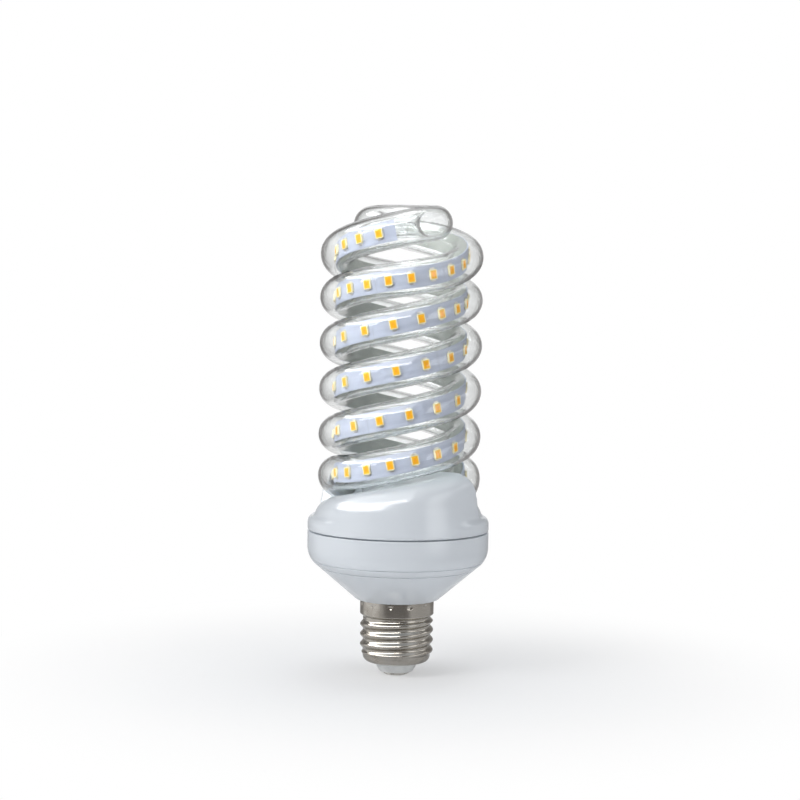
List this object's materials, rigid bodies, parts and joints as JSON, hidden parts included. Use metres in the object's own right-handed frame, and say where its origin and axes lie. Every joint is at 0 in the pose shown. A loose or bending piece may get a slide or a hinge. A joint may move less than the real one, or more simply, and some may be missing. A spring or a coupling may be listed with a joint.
{
  "type": "spiral led bulb",
  "caption": "Screw-cap lamp with a clear glass double-spiral tube that holds light strips, on a white moulded housing with ramped sockets for the tube's legs.",
  "frame": {"origin": "tip of the centre contact, on the lamp's axis", "axes": "+Z along the lamp's axis from the cap to the top of the spiral, -Y to the front, where the ramp of the front leg rises to the right"},
  "size_m": [0.0652, 0.0652, 0.1689],
  "materials": {
    "contact_metal": "tinned, satin",
    "insulator": "pale moulded resin",
    "cap_plating": "nickel plate, satin",
    "white_plastic": "white, satin moulded",
    "clear_glass": "clear, fire polished",
    "board_laminate": "solder mask",
    "strip_film": "white film, satin",
    "chip_frame": "moulded white",
    "phosphor": "yellow silicone",
    "lead_sleeve": "white sleeve",
    "silicone": "white silicone",
    "can_sleeve": "dark sleeve",
    "film_case": "dipped resin",
    "ferrite": "sintered",
    "chip_resin": "moulded resin",
    "resistor_coat": "lacquered"
  },
  "bodies": {
    "root": {"centre_contact": "contact_metal", "cap_insulator": "insulator", "screw_shell": "cap_plating", "lower_housing": "white_plastic", "upper_cover": "white_plastic", "spiral_tube": "clear_glass", "driver_board": "board_laminate", "led_strip_front": "strip_film", "led_strip_rear": "strip_film", "led_frames_front": "chip_frame", "led_frames_rear": "chip_frame", "led_phosphor_front": "phosphor", "led_phosphor_rear": "phosphor", "strip_leads_front": "lead_sleeve", "strip_leads_rear": "lead_sleeve", "tube_seal_front": "silicone", "tube_seal_rear": "silicone", "input_capacitor": "can_sleeve", "output_capacitor": "can_sleeve", "film_capacitor": "film_case", "choke": "ferrite", "bridge_rectifier": "chip_resin", "driver_chip": "chip_resin", "freewheel_diode": "chip_resin", "fuse_resistor": "resistor_coat", "live_lead": "lead_sleeve", "neutral_lead": "lead_sleeve"}
  },
  "joints": []
}
